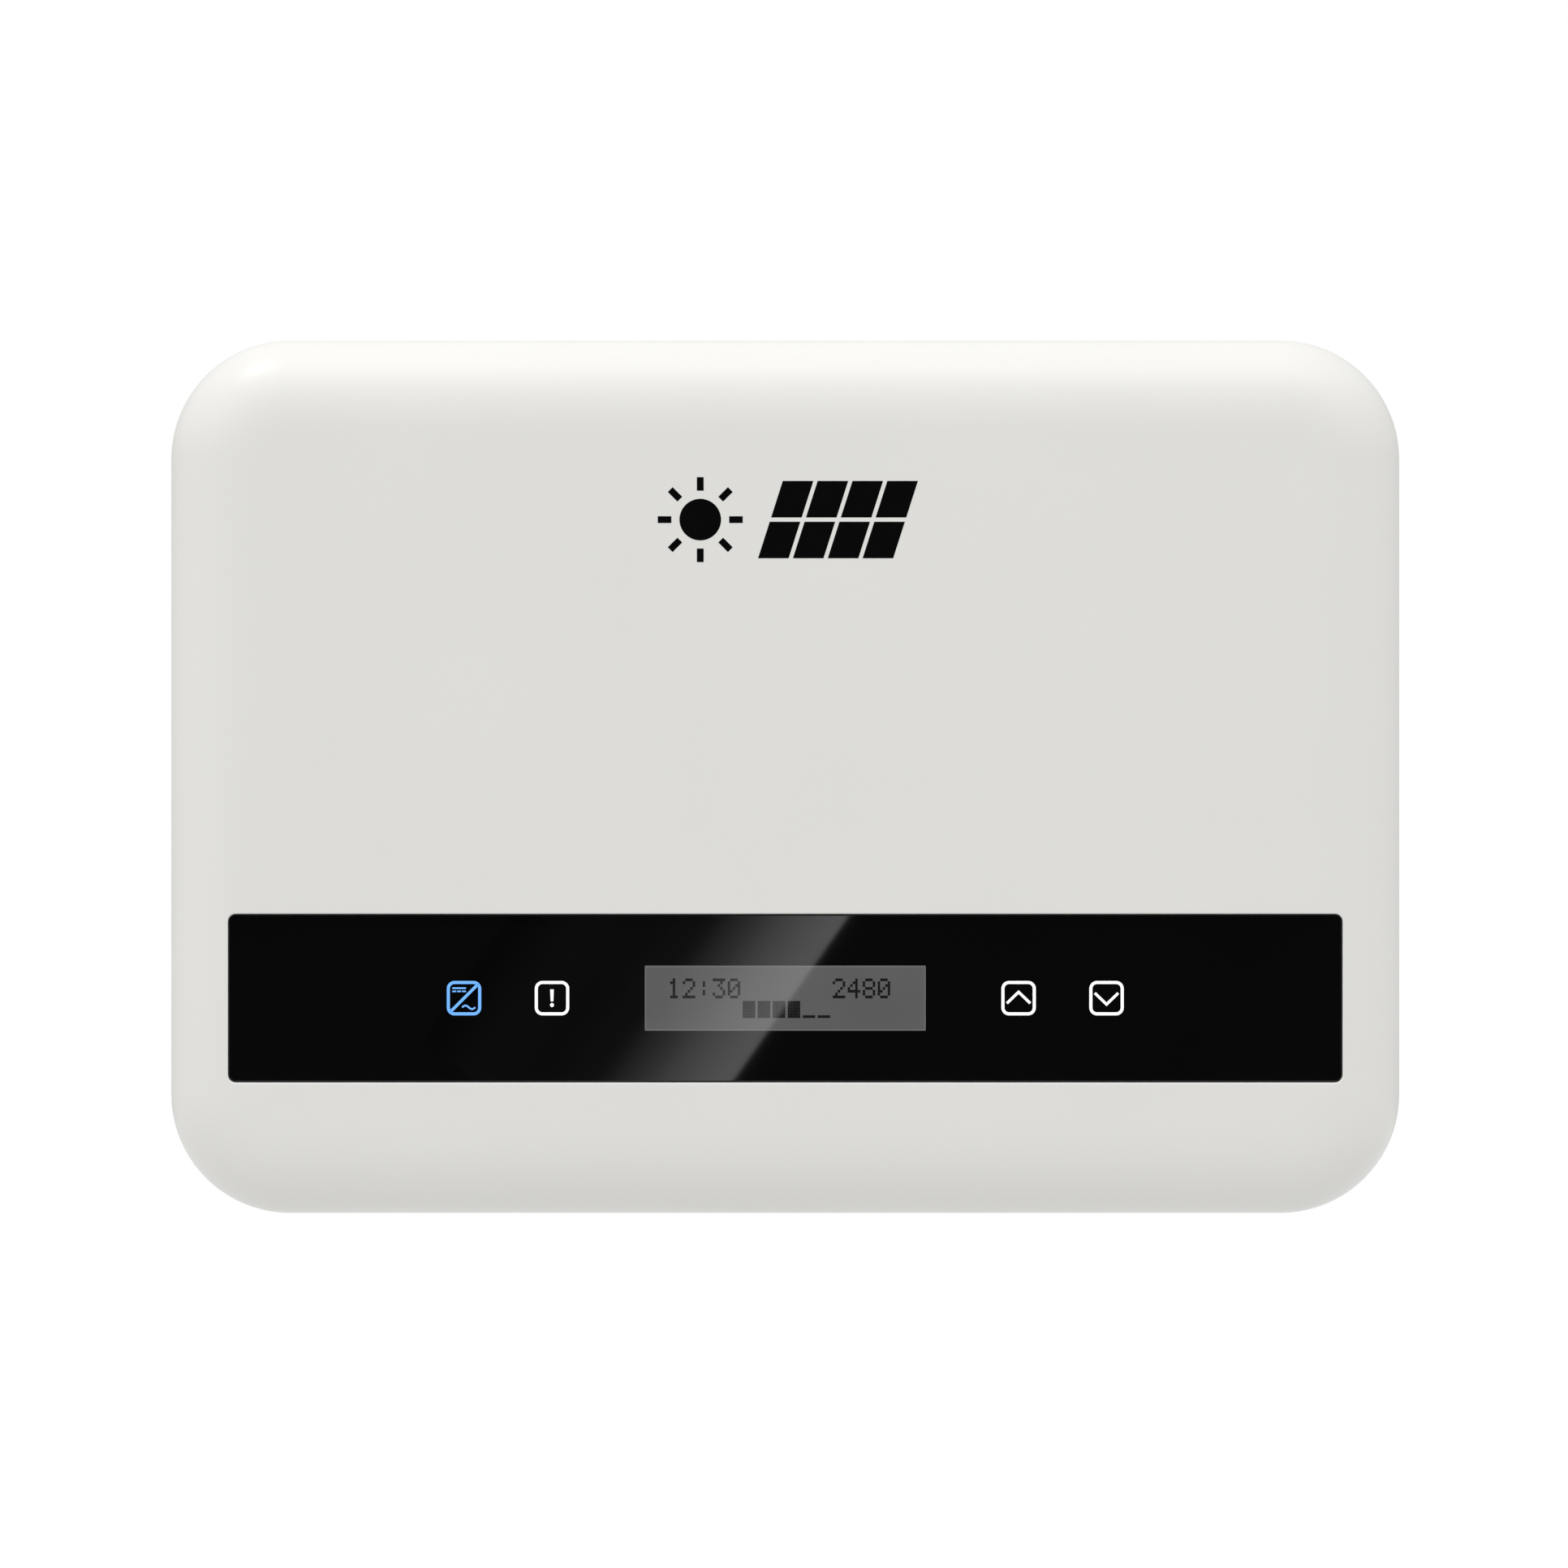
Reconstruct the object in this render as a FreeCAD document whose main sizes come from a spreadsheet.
import FreeCAD, Part
import math
import os
import re

import Sketcher
from FreeCAD import Placement, Rotation, Vector

# Wall-hung string inverter for a small roof, as a parametric document. All sizes are in millimetres.
#
# Frame: +X to the right as seen from the front, +Y into the wall, +Z up. The origin is the centre of the
# wall bracket's four screw holes, on the wall's surface. The inverter hangs on the bracket by a hooked
# plate and lifts straight up to come off it.
#
# A cutting tool starts a millimetre or more outside what it cuts. Neighbours that slide or turn on each
# other keep the gap called slack.

SIZES = {
    # the case as seen from the front, and its depths along Y
    "slack": 0.05,
    "case_width": 290, "case_height": 206, "case_depth": 120, "case_mid": -32,
    "corner_radius": 28, "edge_radius": 20,
    "cover_depth": 52, "cover_wall": 3, "ledge_thick": 5, "boss_radius": 4.5, "boss_height": 7,
    # the cast housing behind the cover
    "flange_thick": 4, "tub_width": 262, "tub_height": 165, "tub_mid": -22.5, "tub_radius": 17,
    "tub_wall": 3.5, "tub_back": 36, "tub_floor": 40,
    "groove_width": 266, "groove_height": 167, "groove_radius": 18, "groove_band": 3, "groove_depth": 1.5,
    # cover screws
    "side_screw_x": 138, "side_screw_high": 25, "side_screw_low": -85,
    "top_screw_x": 75, "top_screw_z": 64.5, "low_screw_left": -77, "low_screw_right": 99, "low_screw_z": -128,
    "screw_shank": 1.95, "screw_hole": 2.2, "screw_thread": 2, "screw_head": 3.8, "head_thick": 2.8,
    "cover_screw_reach": 14,
    # display window and its seat in the cover
    "window_width": 262, "window_height": 39.4, "window_radius": 1.5, "window_mid": -84.1,
    "window_thick": 2, "window_sink": 1.4, "window_gap": 0.3, "lip_radius": 0.9, "window_chamfer": 0.25,
    "tape_thick": 0.4, "tape_band": 3, "seat_margin": 4, "seat_thick": 3,
    # what sits behind the window
    "icon_inner": 54.9, "icon_outer": 75.6, "icon_hole": 10.4, "guide_size": 9.8, "guide_thick": 5.6,
    "touch_hole": 6.5, "touch_pad_radius": 5,
    "lcd_hole_width": 73, "lcd_hole_height": 25, "bezel_width": 72, "bezel_height": 24, "bezel_thick": 7,
    "bezel_wall": 0.8, "lcd_width": 66.1, "lcd_height": 15.3, "glass_thick": 2.2,
    "hmi_width": 194, "hmi_height": 34, "hmi_thick": 1.6, "hmi_front": 109,
    "hmi_screw_x": 91, "hmi_screw_z": 12.5, "hmi_boss": 3, "small_shank": 1.2, "small_head": 2.4,
    "led_size": 3, "led_thick": 0.8,
    # heatsink
    "sink_width": 252, "sink_height": 148, "sink_mid": -18, "sink_base": 5, "sink_back": 12,
    "fin_pitch": 10, "fin_thick": 2, "fin_count": 25, "hanger_block": 12, "hanger_block_height": 32,
    "hanger_block_mid": 20, "bumper_x": 100, "bumper_z": -80, "bumper_radius": 7,
    "sink_screw_x": 115, "sink_screw_z": 30,
    # hanger plate on the heatsink, and the wall bracket that it hooks over
    "hanger_width": 140, "sheet_thick": 2, "hanger_top": 39.5, "lip_low": 27, "lip_front": 5,
    "hanger_screw_x": 50, "hanger_screw_z": 20, "hanger_screw_gap": 8,
    "bracket_width": 120, "bracket_height": 50, "wall_hole": 3.25, "wall_hole_x": 45, "wall_hole_z": 15,
    "tab_width": 70, "tab_front": 8,
    # the bottom panel's row of fittings
    "panel_y": -51, "switch_x": -96, "pv_plus_x": -64, "pv_minus_x": -40, "vent_x": -18,
    "dongle_x": 6, "gland_x": 42, "mains_x": 84, "ground_x": 108,
    # load-break switch
    "switch_bezel_radius": 12.5, "switch_bezel_thick": 2, "knob_radius": 11.5, "knob_base": 5,
    "grip_width": 6.5, "grip_length": 22, "grip_height": 11, "knob_gap": 0.3,
    "shaft_radius": 2.95, "shaft_bore": 3.02, "seal_radius": 5.5, "seal_thick": 2,
    "switch_width": 34, "switch_deep": 36, "switch_tall": 27.5, "switch_offset": 9,
    "rotor_radius": 8, "rotor_bore": 8.06, "rotor_tall": 18, "switch_lid": 2,
    # direct-current sockets
    "dc_barrel": 6.3, "dc_bore": 4.2, "dc_reach": 26, "dc_bore_depth": 17, "dc_collar": 9.2,
    "dc_collar_thick": 4.2, "dc_thread": 6, "dc_inner": 12, "dc_washer": 0.8, "dc_nut_thick": 4,
    "contact_radius": 1.5,
    # mains socket
    "mains_flange_x": 30, "mains_flange_y": 24, "mains_flange_thick": 3, "mains_seal": 1,
    "mains_barrel": 10.2, "mains_bore": 8.2, "mains_reach": 22, "mains_bore_depth": 14, "mains_core": 8,
    "mains_pin": 1.5, "mains_pin_ring": 5, "mains_screw_x": 12, "mains_screw_y": 9,
    "mains_screw_shank": 1.35, "mains_screw_tap": 1.4, "mains_screw_hole": 1.6,
    "mains_head": 2.4, "mains_head_thick": 1.6,
    # data gland with its screw-down nut
    "gland_thread": 8, "gland_inner": 11, "gland_collar": 12, "gland_collar_thick": 4.7,
    "gland_neck": 8.5, "gland_neck_reach": 14, "gland_bore": 5.9, "gland_plug": 3.4, "gland_claw": 5.6,
    "gland_nut_gap": 0.06, "gland_nut_tall": 14, "gland_nut_drop": 7, "gland_mouth": 4.8,
    "gland_seal_tall": 6, "claw_tall": 4,
    # plug-in stick port, vent and earth screw
    "dongle_flange_x": 30, "dongle_flange_y": 20, "dongle_flange_thick": 3, "dongle_collar_x": 20,
    "dongle_collar_y": 12, "dongle_collar_tall": 10, "dongle_wall": 1.6, "dongle_cap_wall": 2,
    "dongle_cap_gap": 0.2, "usb_x": 12, "usb_y": 4.5, "usb_wall": 0.4,
    "vent_radius": 8, "vent_thick": 5, "vent_thread": 5.9, "ground_head": 4.5, "ground_shank": 2.5,
    # power board and what stands on it
    "board_width": 242, "board_height": 120, "board_mid": -6, "board_thick": 1.6, "standoff_tall": 8,
    "standoff_radius": 3, "standoff_x": 116, "standoff_z": 54,
    "board_screw": 1.45, "board_tap": 1.5, "board_hole": 1.6,
    "cap_radius": 12.4, "cap_tall": 38, "cap_pitch": 27, "cap_left": 8, "cap_low": 7, "cap_high": 34,
    "transistor_width": 16, "transistor_thick": 5, "transistor_tall": 21, "transistor_low": 30,
    "transistor_pitch": 36, "lead_size": 1.2, "lead_pitch": 5.4, "pad_thick": 0.5,
    "clamp_width": 208, "clamp_height": 6, "clamp_mid": 41, "clamp_thick": 1.5,
    "base_thick": 2, "turn_radius": 1.2, "turn_gap": 0.1, "turn_corner": 1.5,
    "relay_width": 13, "relay_deep": 16, "relay_tall": 20, "relay_left": 20, "relay_pitch": 17.5,
    "relay_z": -52, "film_width": 26, "film_deep": 12, "film_tall": 18, "film_left": 30, "film_pitch": 32,
    "film_z": -34, "card_left": -55, "card_width": 100, "card_z": -14, "card_tall": 42,
    "header_tall": 3.4, "chip_size": 14, "chip_thick": 1.5,
    "former_x": -30, "former_z": -36, "former_width": 24, "former_deep": 20, "former_tall": 22,
    "arrester_radius": 6.5, "arrester_thick": 4, "arrester_left": -60, "arrester_pitch": 7, "arrester_z": -54,
    "block_width": 32, "block_height": 12, "block_tall": 16, "dc_block_x": -96, "mains_block_x": 88,
    "wire_radius": 1.9, "ribbon_width": 20, "ribbon_thick": 0.9, "ribbon_x": -16,
}

# planes that many pieces share, as expressions of the sheet's cells
FRONT = "-case_depth"
RIM = "-(case_depth - cover_depth)"
FLANGE_BACK = f"({RIM} + flange_thick)"
PANEL = "(tub_mid - tub_height / 2)"
PANEL_INSIDE = f"({PANEL} + tub_wall)"
SEAT = f"({FRONT} + window_sink + window_thick + tape_thick)"
SEAT_BACK = f"({SEAT} + seat_thick)"
HMI_BACK = "(-hmi_front + hmi_thick)"
SINK_FRONT = "-tub_back"
FLOOR = "-tub_floor"
BOARD_BACK = "(-tub_floor - standoff_tall)"
BOARD_FRONT = "(-tub_floor - standoff_tall - board_thick)"

doc = FreeCAD.newDocument("string_inverter")
sheet = doc.addObject("Spreadsheet::Sheet", "sizes")
for line, (alias, size) in enumerate(SIZES.items(), 1):
    sheet.set(f"A{line}", f"'{alias}")
    sheet.set(f"B{line}", str(size))
    sheet.setAlias(f"B{line}", alias)
doc.recompute()
subparts = []


# ---------------------------------------------------------------- helpers: cells, placing, primitives

def expression(size):
    """A size written with cell names, as an expression that the document understands."""
    return re.sub(r"[a-z_]+", lambda word: f"sizes.{word[0]}" if word[0] in SIZES else word[0], str(size))


def value(size):
    """What a size comes to now, in millimetres."""
    return float(sheet.evalExpression(expression(size)))


def bind(thing, prop, size):
    thing.setExpression(prop, expression(size))


def keep(thing, label):
    """Marks a finished object as a sub-part: its label names its file."""
    thing.Label = label
    subparts.append(thing)
    return thing


AXIS_TURN = {
    "+Z": Rotation(), "-Z": Rotation(Vector(1, 0, 0), 180), "-Y": Rotation(Vector(1, 0, 0), 90),
    "+Y": Rotation(Vector(1, 0, 0), -90), "+X": Rotation(Vector(0, 1, 0), 90),
}


def place(thing, x, y, z, turn=Rotation()):
    thing.Placement = Placement(Vector(value(x), value(y), value(z)), turn)
    for letter, size in zip("xyz", (x, y, z)):
        bind(thing, f".Placement.Base.{letter}", size)
    return thing


def box(x, y, z, dx, dy, dz, name="block"):
    """A block centred on x, running back from the plane y and up from z."""
    block = doc.addObject("Part::Box", name)
    for prop, size in zip(("Length", "Width", "Height"), (dx, dy, dz)):
        bind(block, prop, size)
    return place(block, f"{x} - ({dx}) / 2", y, z)


def cylinder(x, y, z, radius, length, axis="+Z", name="round"):
    """A cylinder that starts at a point and runs along an axis."""
    rod = doc.addObject("Part::Cylinder", name)
    bind(rod, "Radius", radius)
    bind(rod, "Height", length)
    return place(rod, x, y, z, AXIS_TURN[axis])


def hexagon(x, y, z, across, length, axis="+Z", name="hexagon"):
    """A hexagonal prism, by the radius to its corners."""
    prism = doc.addObject("Part::Prism", name)
    prism.Polygon = 6
    bind(prism, "Circumradius", across)
    bind(prism, "Height", length)
    return place(prism, x, y, z, AXIS_TURN[axis])


def cone(x, y, z, low_radius, high_radius, height):
    """A cone that widens upwards from a point."""
    flare = doc.addObject("Part::Cone", "cone")
    bind(flare, "Radius1", low_radius)
    bind(flare, "Radius2", high_radius)
    bind(flare, "Height", height)
    return place(flare, x, y, z)


def fuse(*shapes, name="joined"):
    joined = doc.addObject("Part::MultiFuse", name)
    joined.Shapes = list(shapes)
    joined.Refine = True
    return joined


def cut(base, *tools, name="cut"):
    """The base with every tool taken out of it."""
    result = doc.addObject("Part::Cut", name)
    result.Base = base
    result.Tool = tools[0] if len(tools) == 1 else fuse(*tools)
    result.Refine = True
    return result


def group(*solids, name="set"):
    """Separate solids that share one node."""
    together = doc.addObject("Part::Compound", name)
    together.Links = list(solids)
    return together


def screw(x, y, z, shank, reach, head, thick, axis):
    """A pan-head screw. Its seat is at the point, its shank runs along axis and its head the other way."""
    way = {"-Y": (0, 1, 0), "+Y": (0, -1, 0), "+Z": (0, 0, -1)}[axis]
    start = [f"({at}) + ({way_at}) * ({thick})" for at, way_at in zip((x, y, z), way)]
    cap = cylinder(*start, head, thick, axis, name="head")
    socket = hexagon(*start, f"({head}) * 0.5", f"({thick}) * 0.6", axis, name="socket")
    rod = cylinder(x, y, z, shank, reach, axis, name="shank")
    return cut(fuse(cap, rod), socket, name="screw")


# ---------------------------------------------------------------- helpers: bodies and sketches

def new_body(label):
    body = doc.addObject("PartDesign::Body", label)
    return keep(body, label)


def new_sketch(body, role, offset, name):
    """A sketch on one of the body's own planes, moved along the plane's normal by offset."""
    sketch = body.newObject("Sketcher::SketchObject", name)
    plane = next(feature for feature in body.Origin.OriginFeatures if feature.Role == role)
    sketch.AttachmentSupport = [(plane, "")]
    sketch.MapMode = "FlatFace"
    bind(sketch, "AttachmentOffset.Base.z", offset)
    return sketch


def dimension(sketch, kind, where, size):
    number = sketch.addConstraint(Sketcher.Constraint(kind, *where, value(size)))
    bind(sketch, f"Constraints[{number}]", size)


def pin_point(sketch, element, end, x, y):
    """Dimensions a sketch point from the sketch's origin."""
    dimension(sketch, "DistanceX", (-1, 1, element, end), x)
    dimension(sketch, "DistanceY", (-1, 1, element, end), y)


def add_rectangle(sketch, x, y, width, height, radius):
    """A rectangle with round corners, centred on (x, y)."""
    mid_x, mid_y, r = value(x), value(y), value(radius)
    right, top = mid_x + value(width) / 2, mid_y + value(height) / 2
    left, low = 2 * mid_x - right, 2 * mid_y - top
    centres = ((right - r, top - r, 0), (left + r, top - r, 90),
               (left + r, low + r, 180), (right - r, low + r, 270))
    arcs = []
    for centre_x, centre_y, start in centres:
        circle = Part.Circle(Vector(centre_x, centre_y, 0), Vector(0, 0, 1), r)
        arc = Part.ArcOfCircle(circle, math.radians(start), math.radians(start + 90))
        arcs.append(sketch.addGeometry(arc))
    sides = []
    for arc, following in zip(arcs, arcs[1:] + arcs[:1]):
        ends = sketch.Geometry[arc].EndPoint, sketch.Geometry[following].StartPoint
        side = sketch.addGeometry(Part.LineSegment(*ends))
        sketch.addConstraint(Sketcher.Constraint("Tangent", arc, 2, side, 1))
        sketch.addConstraint(Sketcher.Constraint("Tangent", side, 2, following, 1))
        sides.append(side)
    for kind, side in zip(("Horizontal", "Vertical", "Horizontal", "Vertical"), sides):
        sketch.addConstraint(Sketcher.Constraint(kind, side))
    for arc in arcs[1:3]:
        sketch.addConstraint(Sketcher.Constraint("Equal", arcs[0], arc))
    dimension(sketch, "Radius", (arcs[0],), radius)
    dimension(sketch, "DistanceX", (sides[1], 1, sides[3], 1), width)
    dimension(sketch, "DistanceY", (sides[2], 1, sides[0], 1), height)
    dimension(sketch, "DistanceX", (-1, 1, sides[1], 1), f"{x} - ({width}) / 2")
    dimension(sketch, "DistanceY", (-1, 1, sides[0], 1), f"{y} + ({height}) / 2")


def add_circle(sketch, x, y, radius):
    circle = sketch.addGeometry(Part.Circle(Vector(value(x), value(y), 0), Vector(0, 0, 1), value(radius)))
    dimension(sketch, "Radius", (circle,), radius)
    pin_point(sketch, circle, 3, x, y)


def add_polygon(sketch, corners):
    """A closed outline of straight sides."""
    points = [Vector(value(x), value(y), 0) for x, y in corners]
    sides = [sketch.addGeometry(Part.LineSegment(a, b)) for a, b in zip(points, points[1:] + points[:1])]
    for side, following in zip(sides, sides[1:] + sides[:1]):
        sketch.addConstraint(Sketcher.Constraint("Coincident", side, 2, following, 1))
    for side, (x, y) in zip(sides, corners):
        pin_point(sketch, side, 1, x, y)


def pad(body, sketch, length, against_normal=False, both_ways=False):
    feature = body.newObject("PartDesign::Pad", "pad")
    feature.Profile = sketch
    feature.Reversed = against_normal
    feature.Midplane = both_ways
    bind(feature, "Length", length)
    doc.recompute()
    return feature


def pocket(body, sketch, length, along_normal=False):
    """Cuts a sketch's shape out of the body, and makes sure that it cut something."""
    before = body.Shape.Volume
    feature = body.newObject("PartDesign::Pocket", "pocket")
    feature.Profile = sketch
    feature.Reversed = along_normal
    bind(feature, "Length", length)
    doc.recompute()
    if feature.Shape.Volume > before - 1e-3:
        raise RuntimeError(f"{body.Label}: a pocket cut nothing")
    return feature


def round_edges(body, base, edges, radius, kind="Fillet"):
    """A fillet or a chamfer on those edges of the body's last feature that the test picks."""
    names = [f"Edge{number}" for number, edge in enumerate(base.Shape.Edges, 1) if edges(edge)]
    feature = body.newObject(f"PartDesign::{kind}", kind.lower())
    feature.Base = (base, names)
    bind(feature, "Radius" if kind == "Fillet" else "Size", radius)
    doc.recompute()
    return feature


def in_plane(axis, at):
    """A test for edges that lie in the plane axis = at."""
    def test(edge):
        bounds = edge.BoundBox
        low, high = getattr(bounds, f"{axis}Min"), getattr(bounds, f"{axis}Max")
        return abs(low - value(at)) < 1e-4 and abs(high - value(at)) < 1e-4
    return test


# ---------------------------------------------------------------- helpers: wires

def rounded_path(points):
    """Straight runs joined by tangent arcs, each as large as its two runs allow."""
    corners = [Vector(*point) for point in points]
    edges, start = [], corners[0]
    for before, corner, after in zip(corners, corners[1:], corners[2:]):
        into, out = corner - before, after - corner
        reach = 0.45 * min(into.Length, out.Length)
        half_turn = into.getAngle(out) / 2
        radius = reach / math.tan(half_turn)
        into.normalize()
        out.normalize()
        towards_centre = (out - into).normalize()
        first, last = corner - into * reach, corner + out * reach
        middle = corner + towards_centre * (radius / math.cos(half_turn) - radius)
        edges.append(Part.LineSegment(start, first).toShape())
        edges.append(Part.Arc(first, middle, last).toShape())
        start = last
    edges.append(Part.LineSegment(start, corners[-1]).toShape())
    return Part.Wire(edges)


def wire(points, radius):
    """A round insulated wire along a path, as a solid."""
    path = rounded_path(points)
    start, towards = Vector(*points[0]), Vector(*points[1]) - Vector(*points[0])
    section = Part.Wire([Part.Circle(start, towards, radius).toShape()])
    return path.makePipeShell([section], True, True)


def shape_feature(shape, label):
    feature = doc.addObject("Part::Feature", label)
    feature.Shape = shape
    return keep(feature, label)


# ---------------------------------------------------------------- front cover and what it carries

# the two low screws stand where a driver passes between the sockets
COVER_SCREWS = [("low_screw_left", "low_screw_z"), ("low_screw_right", "low_screw_z")] + [
    (f"{side} * {x}", z) for side in (-1, 1)
    for x, z in (("side_screw_x", "side_screw_low"), ("side_screw_x", "side_screw_high"),
                 ("top_screw_x", "top_screw_z"))
]
HMI_SCREWS = [(f"{side} * hmi_screw_x", f"window_mid + {up} * hmi_screw_z")
              for side in (-1, 1) for up in (-1, 1)]
LIGHTS = ["-icon_outer", "-icon_inner"]
KEYS = ["icon_inner", "icon_outer"]


def front_cover():
    """Deep moulded cover: a pillow-edged shell with a screw ledge round its rim and a seat for the window."""
    body = new_body("front_cover")
    outline = new_sketch(body, "XZ_Plane", "case_depth", "outline")
    add_rectangle(outline, 0, "case_mid", "case_width", "case_height", "corner_radius")
    block = pad(body, outline, "cover_depth", against_normal=True)
    rounded = round_edges(body, block, in_plane("Y", FRONT), "edge_radius")
    back = [f"Face{n}" for n, face in enumerate(rounded.Shape.Faces, 1) if in_plane("Y", RIM)(face)]
    shell = body.newObject("PartDesign::Thickness", "shell")
    shell.Base = (rounded, back)
    shell.Reversed = True
    shell.Join = 0
    bind(shell, "Value", "cover_wall")
    doc.recompute()

    ledge = new_sketch(body, "XZ_Plane", f"-{RIM}", "ledge")
    add_rectangle(ledge, 0, "case_mid", "case_width - cover_wall", "case_height - cover_wall",
                  "corner_radius - cover_wall / 2")
    add_rectangle(ledge, 0, "tub_mid", "tub_width - 2 * tub_wall", "tub_height - 2 * tub_wall",
                  "tub_radius - tub_wall")
    pad(body, ledge, "ledge_thick")
    bosses = new_sketch(body, "XZ_Plane", f"-{RIM} + ledge_thick / 2", "bosses")
    for x, z in COVER_SCREWS:
        add_circle(bosses, x, z, "boss_radius")
    pad(body, bosses, "ledge_thick / 2 + boss_height")
    threads = new_sketch(body, "XZ_Plane", f"-{RIM}", "threads")
    for x, z in COVER_SCREWS:
        add_circle(threads, x, z, "screw_thread")
    pocket(body, threads, "ledge_thick + boss_height - 1", along_normal=True)

    seat = new_sketch(body, "XZ_Plane", f"-{SEAT_BACK}", "seat")
    add_rectangle(seat, 0, "window_mid", "window_width + 2 * seat_margin", "window_height + 2 * seat_margin",
                  "window_radius + seat_margin")
    pad(body, seat, f"{SEAT_BACK} - {SEAT} - tape_thick + 1")
    studs = new_sketch(body, "XZ_Plane", "hmi_front", "studs")
    for x, z in HMI_SCREWS:
        add_circle(studs, x, z, "hmi_boss")
    pad(body, studs, f"-hmi_front - {SEAT_BACK} + 1")
    recess = new_sketch(body, "XZ_Plane", "case_depth", "recess")
    add_rectangle(recess, 0, "window_mid", "window_width + 2 * window_gap", "window_height + 2 * window_gap",
                  "window_radius + window_gap")
    pocket(body, recess, f"{SEAT} + case_depth")
    stud_holes = new_sketch(body, "XZ_Plane", "hmi_front", "stud_holes")
    for x, z in HMI_SCREWS:
        add_circle(stud_holes, x, z, "small_shank")
    pocket(body, stud_holes, 4, along_normal=True)
    windows = new_sketch(body, "XZ_Plane", f"-{SEAT}", "windows")
    add_rectangle(windows, 0, "window_mid", "lcd_hole_width", "lcd_hole_height", 1)
    for x in LIGHTS:
        add_rectangle(windows, x, "window_mid", "icon_hole", "icon_hole", 1)
    for x in KEYS:
        add_circle(windows, x, "window_mid", "touch_hole")
    opened = pocket(body, windows, "seat_thick")

    half_width, half_height = value("window_width / 2 + window_gap"), value("window_height / 2 + window_gap")
    behind_face = value(FRONT) + 2

    def rim_of_recess(edge):
        """The recess's outer edge, where it breaks through the rounded front."""
        bounds = edge.BoundBox
        if bounds.YMax > behind_face or bounds.YMin < value(FRONT) - 1e-3:
            return False
        reach_x = max(abs(bounds.XMin), abs(bounds.XMax))
        reach_z = max(abs(bounds.ZMin - value("window_mid")), abs(bounds.ZMax - value("window_mid")))
        return reach_x < half_width + 1e-3 and reach_z < half_height + 1e-3
    round_edges(body, opened, rim_of_recess, "lip_radius")


def display_window():
    """Gloss black acrylic strip, flush in its seat."""
    body = new_body("display_window")
    outline = new_sketch(body, "XZ_Plane", "case_depth - window_sink - window_thick", "outline")
    add_rectangle(outline, 0, "window_mid", "window_width", "window_height", "window_radius")
    plate = pad(body, outline, "window_thick")
    round_edges(body, plate, in_plane("Y", f"{FRONT} + window_sink"), "window_chamfer", "Chamfer")


def window_tape():
    """Frame of double-sided foam tape that holds the window and keeps rain out."""
    body = new_body("window_tape")
    outline = new_sketch(body, "XZ_Plane", f"-{SEAT}", "outline")
    add_rectangle(outline, 0, "window_mid", "window_width", "window_height", "window_radius")
    add_rectangle(outline, 0, "window_mid", "window_width - 2 * tape_band",
                  "window_height - 2 * tape_band", 0.5)
    pad(body, outline, "tape_thick")


def display_module():
    """Character display: a folded steel bezel round the glass, and the lit block behind it."""
    low = "(window_mid - bezel_height / 2)"
    front = "(-hmi_front - bezel_thick)"
    shell = box(0, front, low, "bezel_width", "bezel_thick", "bezel_height")
    inside = box(0, f"{front} + bezel_wall", f"{low} + bezel_wall", "bezel_width - 2 * bezel_wall",
                 "bezel_thick", "bezel_height - 2 * bezel_wall")
    view = box(0, f"{front} - 1", "window_mid - lcd_height / 2", "lcd_width", "bezel_wall + 2", "lcd_height")
    keep(cut(shell, inside, view), "lcd_bezel")
    glass = box(0, f"{front} + bezel_wall", f"{low} + bezel_wall + 0.1",
                "bezel_width - 2 * bezel_wall - 0.2", "glass_thick", "bezel_height - 2 * bezel_wall - 0.2")
    keep(glass, "lcd_glass")
    light = box(0, f"{front} + bezel_wall + glass_thick", f"{low} + bezel_wall + 0.1",
                "bezel_width - 2 * bezel_wall - 0.2", "bezel_thick - bezel_wall - glass_thick",
                "bezel_height - 2 * bezel_wall - 0.2")
    keep(light, "lcd_backlight")


def operator_board():
    """Board behind the window, with its lamps, light guides, screws and the keys' conductive foam pads."""
    slab = box(0, "-hmi_front", "window_mid - hmi_height / 2", "hmi_width", "hmi_thick", "hmi_height")
    holes = [cylinder(x, "-hmi_front - 1", z, "small_shank + 0.2", "hmi_thick + 2", "+Y")
             for x, z in HMI_SCREWS]
    lamps = [box(x, "-hmi_front - led_thick", "window_mid - led_size / 2", "led_size", "led_thick",
                 "led_size") for x in LIGHTS]
    keep(fuse(cut(slab, *holes), *lamps), "hmi_board")
    screws = [screw(x, HMI_BACK, z, "small_shank - slack", 4.5, "small_head", 1.6, "-Y")
              for x, z in HMI_SCREWS]
    keep(group(*screws), "hmi_screws")
    guide_front = f"{SEAT} + 0.1"
    guides = [box(x, guide_front, "window_mid - guide_size / 2", "guide_size", "guide_thick", "guide_size")
              for x in LIGHTS]
    keep(group(*guides), "light_guides")
    window_back = f"({FRONT} + window_sink + window_thick)"
    pads = [cylinder(x, window_back, "window_mid", "touch_pad_radius", f"-hmi_front - {window_back}", "+Y")
            for x in KEYS]
    keep(group(*pads), "touch_pads")


def cover_gasket():
    """Rubber ring in the housing's groove, inboard of the screws."""
    body = new_body("cover_gasket")
    ring = new_sketch(body, "XZ_Plane", f"-{RIM} - groove_depth", "ring")
    add_rectangle(ring, 0, "tub_mid", "groove_width - 2 * slack", "groove_height - 2 * slack",
                  "groove_radius - slack")
    add_rectangle(ring, 0, "tub_mid", "groove_width - 2 * groove_band + 2 * slack",
                  "groove_height - 2 * groove_band + 2 * slack", "groove_radius - groove_band + slack")
    pad(body, ring, "groove_depth")


# ---------------------------------------------------------------- housing, heatsink, hanger and bracket

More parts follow.
